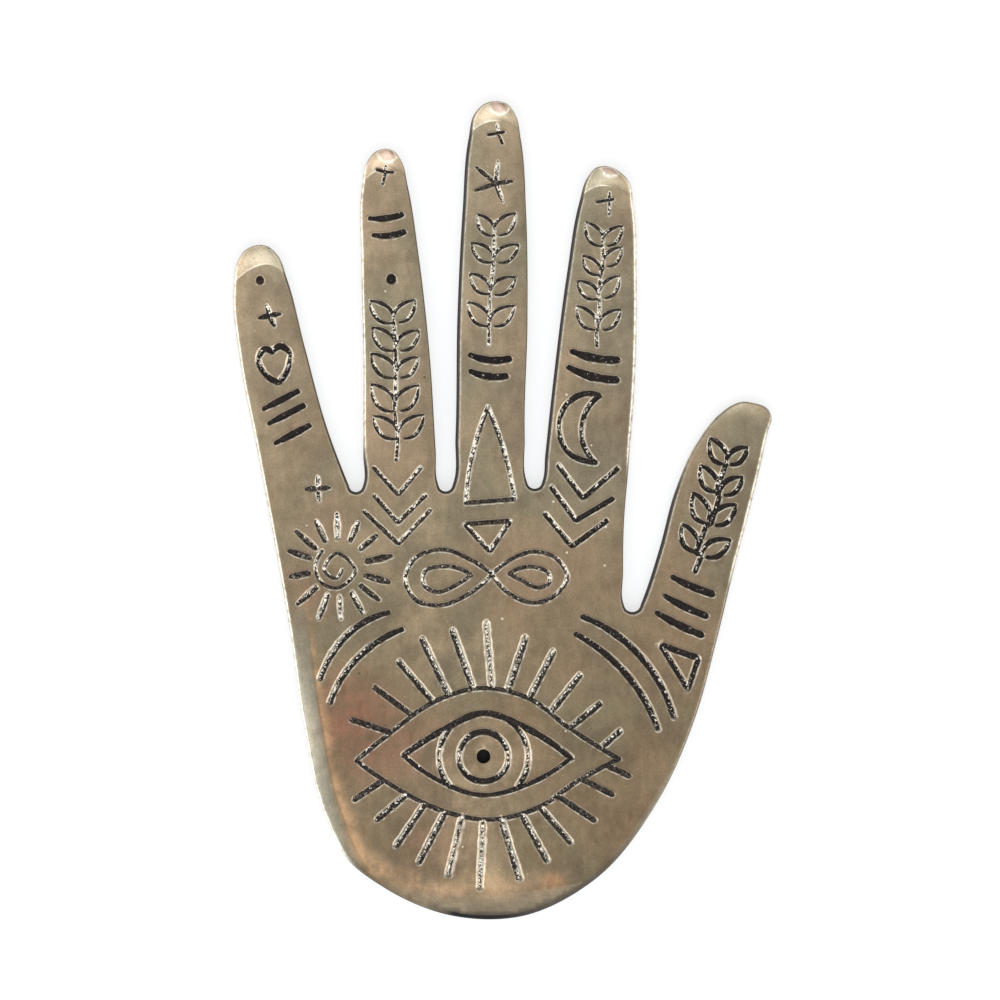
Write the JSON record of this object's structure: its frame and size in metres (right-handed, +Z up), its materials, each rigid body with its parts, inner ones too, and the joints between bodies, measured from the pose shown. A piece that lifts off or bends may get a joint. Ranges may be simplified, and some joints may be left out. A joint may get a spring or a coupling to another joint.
{
  "type": "incense holder",
  "caption": "Flat open hand of antique brass with engraved signs filled black, upturned fingertips and heel, and a hole in the palm's eye that holds an incense stick.",
  "frame": {"origin": "middle of the hand's plan, on the flat underside", "axes": "+Y along the middle finger towards its tip, +X towards the thumb, +Z up out of the engraved face"},
  "size_m": [0.0992, 0.1506, 0.0046],
  "materials": {
    "brass": "antiqued, fine brushed, semi-matt",
    "lacquer": "rough black fill in the engraving"
  },
  "bodies": {
    "root": {"hand_plate": "brass", "little_bar_1": "lacquer", "little_bar_2": "lacquer", "little_bar_3": "lacquer", "little_dot": "lacquer", "little_star": "lacquer", "little_heart": "lacquer", "palm_cross": "lacquer", "ring_bar_1": "lacquer", "ring_bar_2": "lacquer", "ring_dot": "lacquer", "ring_sprig": "lacquer", "ring_chevron_1": "lacquer", "ring_chevron_2": "lacquer", "ring_chevron_3": "lacquer", "middle_star": "lacquer", "middle_sprig": "lacquer", "middle_bar_1": "lacquer", "middle_bar_2": "lacquer", "middle_tent": "lacquer", "middle_triangle": "lacquer", "index_sprig": "lacquer", "index_bar_1": "lacquer", "index_bar_2": "lacquer", "index_moon": "lacquer", "index_chevron_1": "lacquer", "index_chevron_2": "lacquer", "index_chevron_3": "lacquer", "thumb_sprig": "lacquer", "thumb_bar_1": "lacquer", "thumb_bar_2": "lacquer", "thumb_bar_3": "lacquer", "thumb_triangle": "lacquer", "sun_spiral": "lacquer", "sun_ray_1": "lacquer", "sun_ray_2": "lacquer", "sun_ray_3": "lacquer", "sun_ray_4": "lacquer", "sun_ray_5": "lacquer", "sun_ray_6": "lacquer", "sun_ray_7": "lacquer", "sun_ray_8": "lacquer", "sun_ray_9": "lacquer", "sun_ray_10": "lacquer", "sun_ray_11": "lacquer", "sun_ray_12": "lacquer", "sun_ray_13": "lacquer", "sun_ray_14": "lacquer", "left_outer_arc": "lacquer", "left_inner_arc": "lacquer", "right_outer_arc": "lacquer", "right_inner_arc": "lacquer", "infinity_loops": "lacquer", "infinity_drop_left": "lacquer", "infinity_drop_right": "lacquer", "eye_lids": "lacquer", "eye_almond": "lacquer", "eye_iris": "lacquer"}
  },
  "joints": []
}
